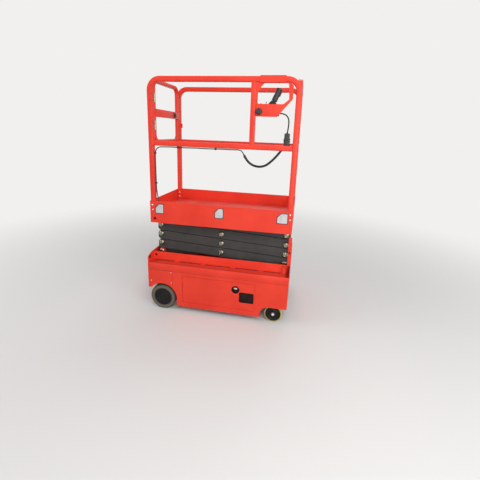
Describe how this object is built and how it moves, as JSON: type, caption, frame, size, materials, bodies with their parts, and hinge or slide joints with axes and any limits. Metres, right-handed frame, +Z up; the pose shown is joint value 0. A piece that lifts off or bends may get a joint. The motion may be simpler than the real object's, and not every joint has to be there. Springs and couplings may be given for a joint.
{
  "type": "scissor lift",
  "caption": "Small electric scissor lift with a railed work platform on a folded stack of crossed arms over a wheeled red chassis.",
  "frame": {"origin": "on the ground under the middle of the machine", "axes": "+X towards the steered wheels and the control box, -Y towards the side with the control box, +Z up"},
  "size_m": [1.216, 0.787, 1.9523],
  "materials": {
    "red_paint": "satin powder coat",
    "arm_paint": "satin dark grey paint",
    "zinc": "zinc plated",
    "chrome": "hard chrome",
    "black_paint": "gloss black paint",
    "black_plastic": "matte",
    "black_rubber": "matt cable jacket",
    "black_hub": "satin black paint",
    "dark_steel": "dark painted steel",
    "grey_tyre": "worn solid rubber",
    "yellow_tyre": "moulded polyurethane"
  },
  "bodies": {
    "outer_1": {"outer_arms_1": "arm_paint", "pins_1": "zinc"},
    "inner_1": {"inner_arms_1": "arm_paint", "cross_tubes_1": "arm_paint", "base_shaft": "zinc"},
    "outer_2": {"outer_arms_2": "arm_paint", "pins_2": "zinc"},
    "inner_2": {"inner_arms_2": "arm_paint", "cross_tubes_2": "arm_paint"},
    "outer_3": {"outer_arms_3": "arm_paint", "pins_3": "zinc"},
    "inner_3": {"inner_arms_3": "arm_paint", "cross_tubes_3": "arm_paint"},
    "outer_4": {"outer_arms_4": "arm_paint", "pins_4": "zinc"},
    "inner_4": {"inner_arms_4": "arm_paint", "cross_tubes_4": "arm_paint", "top_roller_shaft": "zinc"},
    "barrel": {"cylinder_barrel": "black_paint"},
    "rod": {"cylinder_rod": "chrome"},
    "chassis": {"chassis_frame": "red_paint", "side_panel_near": "red_paint", "side_panel_far": "red_paint", "end_plate_left": "red_paint", "end_plate_right": "red_paint", "switch_panel": "black_plastic", "battery_box": "dark_steel", "power_unit": "dark_steel", "drive_motors": "dark_steel"},
    "door_near": {"door_near": "red_paint"},
    "door_far": {"door_far": "red_paint"},
    "drive_wheel_near": {"drive_tyre_near": "grey_tyre", "drive_hub_near": "black_hub"},
    "steer_wheel_near": {"steer_tyre_near": "yellow_tyre", "steer_hub_near": "black_hub"},
    "knuckle_near": {"knuckle_near": "dark_steel"},
    "drive_wheel_far": {"drive_tyre_far": "grey_tyre", "drive_hub_far": "black_hub"},
    "steer_wheel_far": {"steer_tyre_far": "yellow_tyre", "steer_hub_far": "black_hub"},
    "knuckle_far": {"knuckle_far": "dark_steel"},
    "platform": {"deck_plate": "red_paint", "toe_boards": "red_paint", "platform_tracks": "red_paint", "side_rail_near": "red_paint", "side_rail_far": "red_paint", "end_rail": "red_paint", "control_guard": "red_paint", "control_cable": "black_rubber", "cable_conduit": "black_rubber", "post_cable": "black_rubber", "cable_fixings": "black_plastic", "hinge_pins": "zinc", "control_box": "black_plastic", "joystick": "black_plastic", "cable_connector": "black_plastic", "stop_button": "black_plastic"},
    "gate": {"gate_frame": "red_paint", "gate_latch": "black_plastic", "gate_hinges": "zinc"}
  },
  "joints": [
    {"name": "lift", "type": "hinge", "parent": "chassis", "child": "inner_1", "pos_m": [-0.54772, 0, 0.4854], "axis": [0, -1, 0], "range_deg": [0, 45]},
    {"name": "fold_1", "type": "hinge", "parent": "inner_1", "child": "outer_1", "pos_m": [0.0057, 0, 0.5272], "axis": [0, -1, 0], "range_deg": [-90, 0]},
    {"name": "link_1", "type": "hinge", "parent": "outer_1", "child": "inner_2", "pos_m": [-0.54772, 0, 0.569], "axis": [0, -1, 0], "range_deg": [0, 90]},
    {"name": "fold_2", "type": "hinge", "parent": "inner_2", "child": "outer_2", "pos_m": [0.0057, 0, 0.6108], "axis": [0, -1, 0], "range_deg": [-90, 0]},
    {"name": "link_2", "type": "hinge", "parent": "outer_2", "child": "inner_3", "pos_m": [-0.54772, 0, 0.6526], "axis": [0, -1, 0], "range_deg": [0, 90]},
    {"name": "fold_3", "type": "hinge", "parent": "inner_3", "child": "outer_3", "pos_m": [0.0057, 0, 0.6944], "axis": [0, -1, 0], "range_deg": [-90, 0]},
    {"name": "link_3", "type": "hinge", "parent": "outer_3", "child": "inner_4", "pos_m": [-0.54772, 0, 0.7362], "axis": [0, -1, 0], "range_deg": [0, 90]},
    {"name": "fold_4", "type": "hinge", "parent": "inner_4", "child": "outer_4", "pos_m": [0.0057, 0, 0.778], "axis": [0, -1, 0], "range_deg": [-90, 0]},
    {"name": "platform_level", "type": "hinge", "parent": "outer_4", "child": "platform", "pos_m": [-0.54772, 0, 0.8198], "axis": [0, -1, 0], "range_deg": [0, 45]},
    {"name": "barrel_tilt", "type": "hinge", "parent": "inner_1", "child": "barrel", "pos_m": [0.40416, 0, 0.5573], "axis": [0, -1, 0], "range_deg": [-102.19, 0]},
    {"name": "rod_slide", "type": "slide", "parent": "barrel", "child": "rod", "axis": [-0.9903, 0, 0.1389], "range_m": [0, 0.42355]},
    {"name": "gate_swing", "type": "hinge", "parent": "platform", "child": "gate", "pos_m": [-0.556, -0.27, 1.7], "axis": [0, 0, -1], "range_deg": [0, 90]},
    {"name": "door_near_swing", "type": "hinge", "parent": "chassis", "child": "door_near", "pos_m": [-0.295, -0.39, 0.216], "axis": [0, 0, -1], "range_deg": [0, 110]},
    {"name": "drive_near_spin", "type": "hinge", "parent": "chassis", "child": "drive_wheel_near", "pos_m": [-0.479, -0.344, 0.115], "axis": [0, 1, 0], "continuous": true},
    {"name": "steer_near", "type": "hinge", "parent": "chassis", "child": "knuckle_near", "pos_m": [0.496, -0.274, 0.1], "axis": [0, 0, 1], "range_deg": [-50, 50]},
    {"name": "steer_near_spin", "type": "hinge", "parent": "knuckle_near", "child": "steer_wheel_near", "pos_m": [0.496, -0.331, 0.075], "axis": [0, 1, 0], "continuous": true},
    {"name": "door_far_swing", "type": "hinge", "parent": "chassis", "child": "door_far", "pos_m": [-0.295, 0.39, 0.216], "axis": [0, 0, 1], "range_deg": [0, 110]},
    {"name": "drive_far_spin", "type": "hinge", "parent": "chassis", "child": "drive_wheel_far", "pos_m": [-0.479, 0.344, 0.115], "axis": [0, 1, 0], "continuous": true},
    {"name": "steer_far", "type": "hinge", "parent": "chassis", "child": "knuckle_far", "pos_m": [0.496, 0.274, 0.1], "axis": [0, 0, 1], "range_deg": [-50, 50]},
    {"name": "steer_far_spin", "type": "hinge", "parent": "knuckle_far", "child": "steer_wheel_far", "pos_m": [0.496, 0.331, 0.075], "axis": [0, 1, 0], "continuous": true}
  ],
  "couplings": [
    {"joint": "fold_1", "follows": "lift", "ratio": -2},
    {"joint": "link_1", "follows": "lift", "ratio": 2},
    {"joint": "fold_2", "follows": "lift", "ratio": -2},
    {"joint": "link_2", "follows": "lift", "ratio": 2},
    {"joint": "fold_3", "follows": "lift", "ratio": -2},
    {"joint": "link_3", "follows": "lift", "ratio": 2},
    {"joint": "fold_4", "follows": "lift", "ratio": -2},
    {"joint": "platform_level", "follows": "lift", "ratio": 1},
    {"joint": "barrel_tilt", "follows": "lift", "ratio": -2.2706},
    {"joint": "rod_slide", "follows": "lift", "m_per_rad": 0.53916},
    {"joint": "steer_far", "follows": "steer_near", "ratio": 1}
  ]
}
